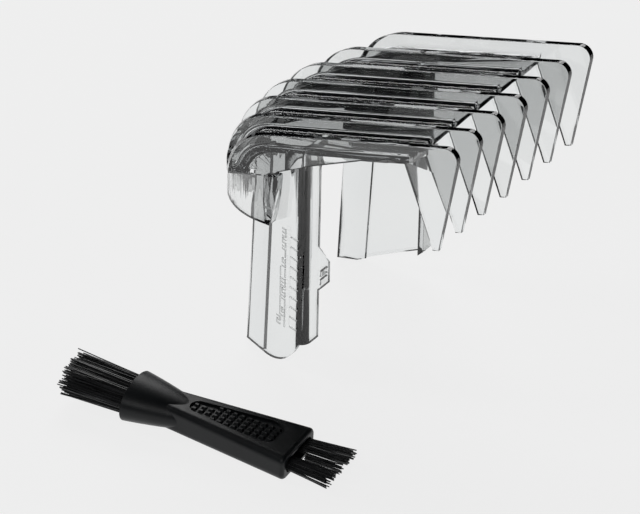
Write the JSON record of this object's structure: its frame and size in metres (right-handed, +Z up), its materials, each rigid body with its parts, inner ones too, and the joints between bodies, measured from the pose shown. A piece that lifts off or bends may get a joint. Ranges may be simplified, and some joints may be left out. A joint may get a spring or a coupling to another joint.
{
  "type": "hair clipper guide comb and cleaning brush",
  "caption": "Clear slide-on hair clipper guide comb with a curved hood, long pointed teeth and guide arms, with a small black double-ended cleaning brush lying beside it.",
  "frame": {"origin": "on the comb's middle plane, between the two arms, at the level of the arms' lower tips, which the brush also lies on", "axes": "+Z up along the arms, +X towards the teeth, +Y across the comb away from the scale arm"},
  "size_m": [0.0616, 0.0756, 0.0583],
  "materials": {
    "clear_plastic": "clear, glossy, with a faint smoke-grey tint",
    "scale_print": "raised clear strokes, lightly frosted",
    "black_plastic": "black satin moulded plastic",
    "bristles": "black nylon filament",
    "anchor_metal": "bare, hidden in the tuft holes"
  },
  "bodies": {
    "comb": {"rib_1": "clear_plastic", "rib_2": "clear_plastic", "rib_3": "clear_plastic", "rib_4": "clear_plastic", "rib_5": "clear_plastic", "rib_6": "clear_plastic", "rib_7": "clear_plastic", "hood_web": "clear_plastic", "hood_skirt": "clear_plastic", "scale_arm": "clear_plastic", "plain_arm": "clear_plastic", "scale_arm_gusset": "clear_plastic", "plain_arm_gusset": "clear_plastic", "catch_tab": "clear_plastic", "scale_marks": "scale_print", "scale_numbers": "scale_print"},
    "brush": {"brush_handle": "black_plastic", "wide_tuft_1": "bristles", "wide_tuft_2": "bristles", "wide_tuft_3": "bristles", "wide_tuft_4": "bristles", "wide_tuft_5": "bristles", "wide_tuft_6": "bristles", "wide_tuft_7": "bristles", "wide_tuft_8": "bristles", "wide_tuft_9": "bristles", "wide_tuft_10": "bristles", "narrow_tuft_1": "bristles", "narrow_tuft_2": "bristles", "narrow_tuft_3": "bristles", "narrow_tuft_4": "bristles", "narrow_tuft_5": "bristles", "wide_end_anchors": "anchor_metal", "narrow_end_anchors": "anchor_metal"}
  },
  "joints": [
    {"name": "brush_lift", "type": "slide", "parent": "comb", "child": "brush", "axis": [0, 0, 1], "range_m": [0, 0.1]}
  ]
}
